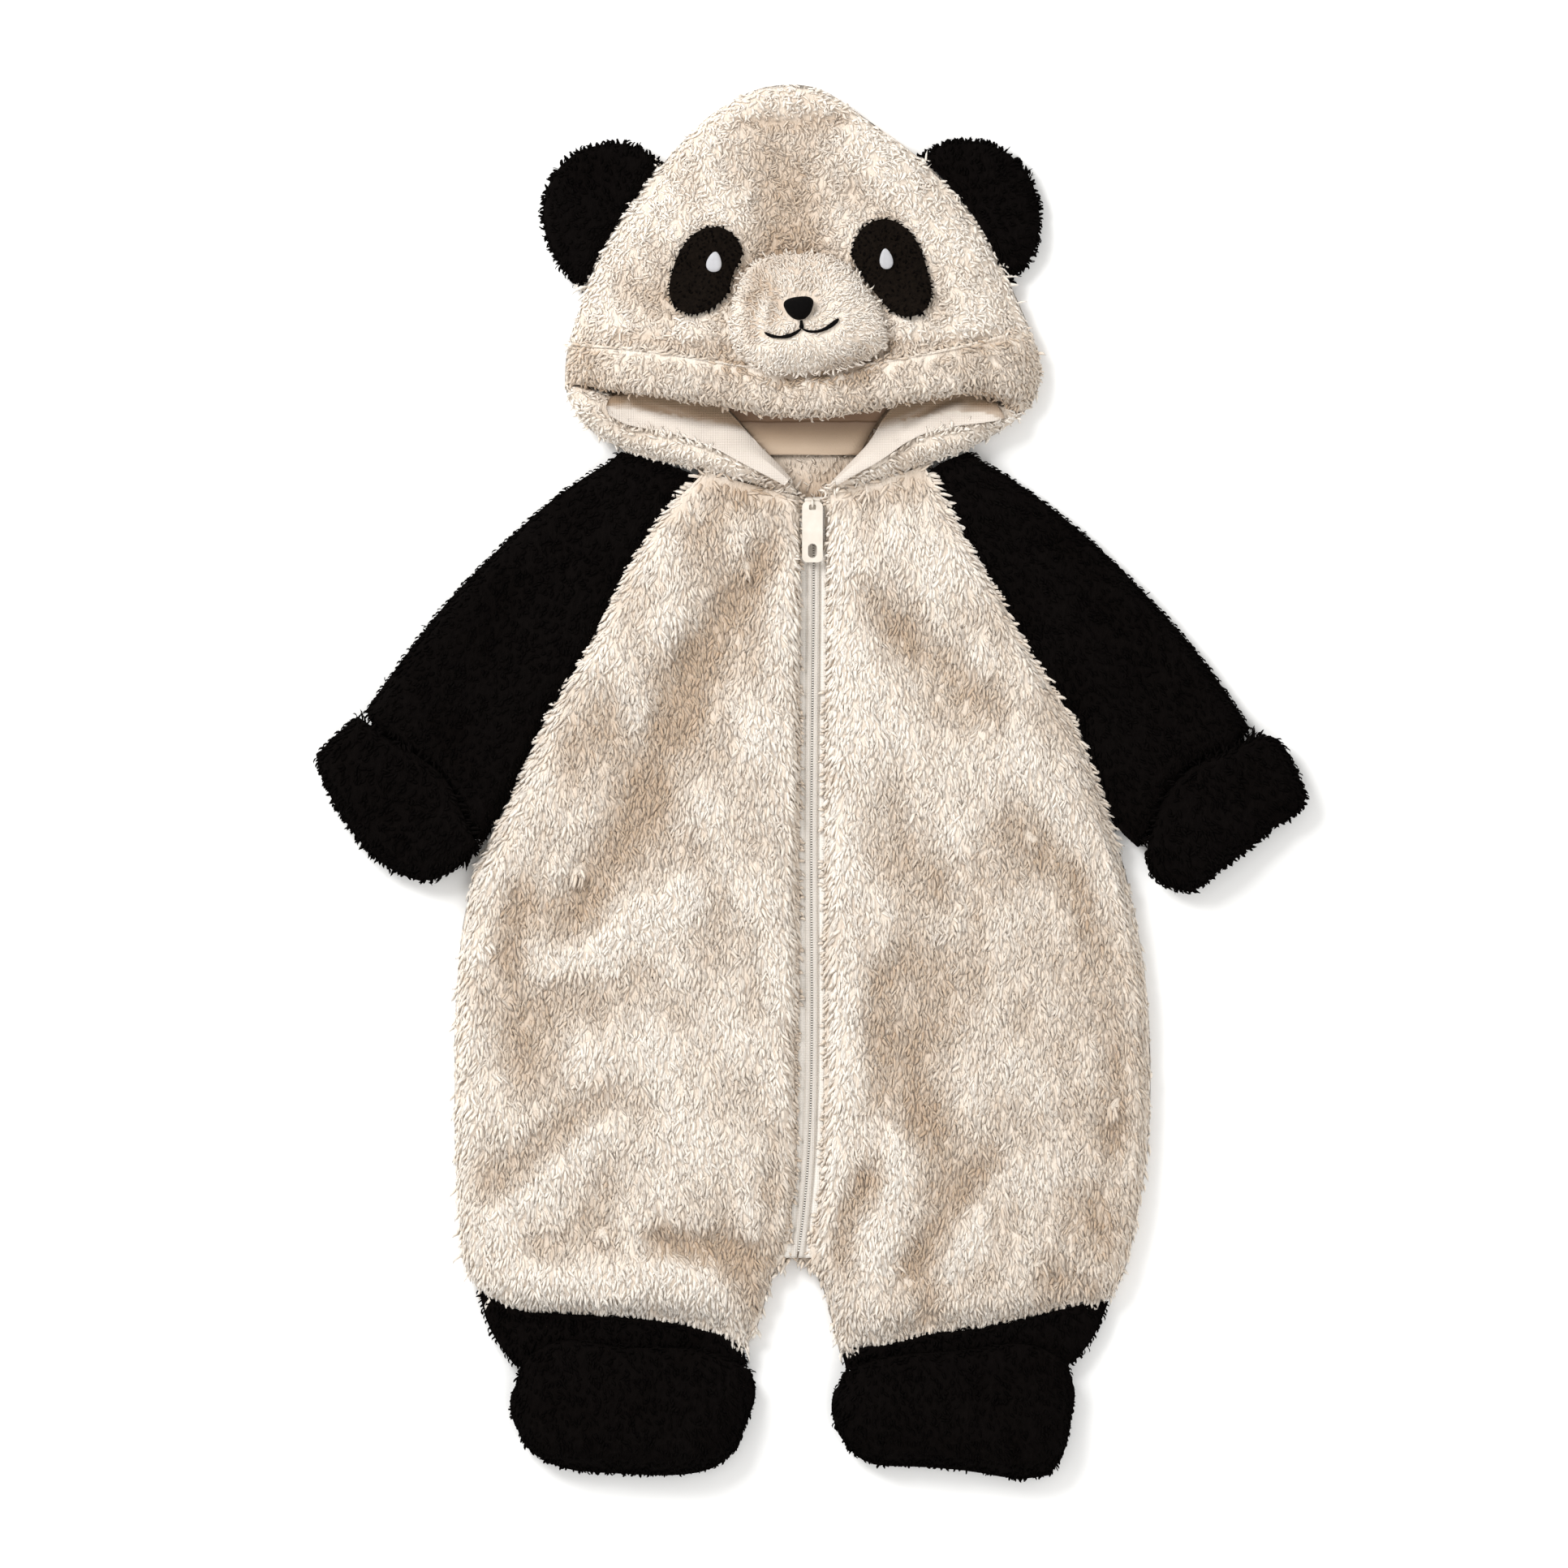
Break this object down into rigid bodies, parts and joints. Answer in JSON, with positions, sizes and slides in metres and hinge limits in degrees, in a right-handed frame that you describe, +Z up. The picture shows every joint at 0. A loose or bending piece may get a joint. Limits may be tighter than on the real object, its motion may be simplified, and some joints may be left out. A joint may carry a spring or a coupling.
{
  "type": "panda onesie",
  "caption": "Baby's hooded one-piece suit in long-pile fleece with a panda face, round ears, raglan sleeves, turned-up cuffs, booties and a front zip, laid flat.",
  "frame": {"origin": "centre of the bounding box of the garment as it lies, on the surface under it", "axes": "+X to the right as seen from above, +Y from the feet to the hood, +Z up from the surface, out of the front of the garment"},
  "size_m": [0.514, 0.723, 0.0498],
  "materials": {
    "cream_fleece": "long curly cream pile, matt",
    "black_plush": "dense black pile, matt",
    "lining_cloth": "smooth cream knit, matt",
    "glint_thread": "pale satin-stitch embroidery",
    "zip_tape": "fine woven tape, matt",
    "zip_nylon": "moulded nylon with a soft sheen"
  },
  "bodies": {
    "garment": {"ankle_left": "black_plush", "ankle_right": "black_plush", "back_body": "cream_fleece", "back_lining": "lining_cloth", "cuff_left": "black_plush", "cuff_right": "black_plush", "ear_left": "black_plush", "ear_right": "black_plush", "eye_glint_left": "glint_thread", "eye_glint_right": "glint_thread", "eye_patch_left": "black_plush", "eye_patch_right": "black_plush", "flap_lining_left": "lining_cloth", "flap_lining_right": "lining_cloth", "foot_sole_left": "black_plush", "foot_sole_right": "black_plush", "foot_upper_left": "black_plush", "foot_upper_right": "black_plush", "front_left": "cream_fleece", "front_right": "cream_fleece", "hood_back": "cream_fleece", "hood_band": "cream_fleece", "hood_flap_left": "cream_fleece", "hood_flap_right": "cream_fleece", "hood_top": "cream_fleece", "muzzle": "cream_fleece", "nose": "black_plush", "sleeve_left": "black_plush", "sleeve_right": "black_plush", "zip_coil": "zip_nylon", "zip_slider": "zip_nylon", "zip_tape_left": "zip_tape", "zip_tape_right": "zip_tape"},
    "pull": {"zip_pull": "zip_nylon"}
  },
  "joints": [
    {"name": "pull_swing", "type": "hinge", "parent": "garment", "child": "pull", "pos_m": [0.0004, 0.1442, 0.01485], "axis": [-1, 0, 0], "range_deg": [0, 170]}
  ]
}
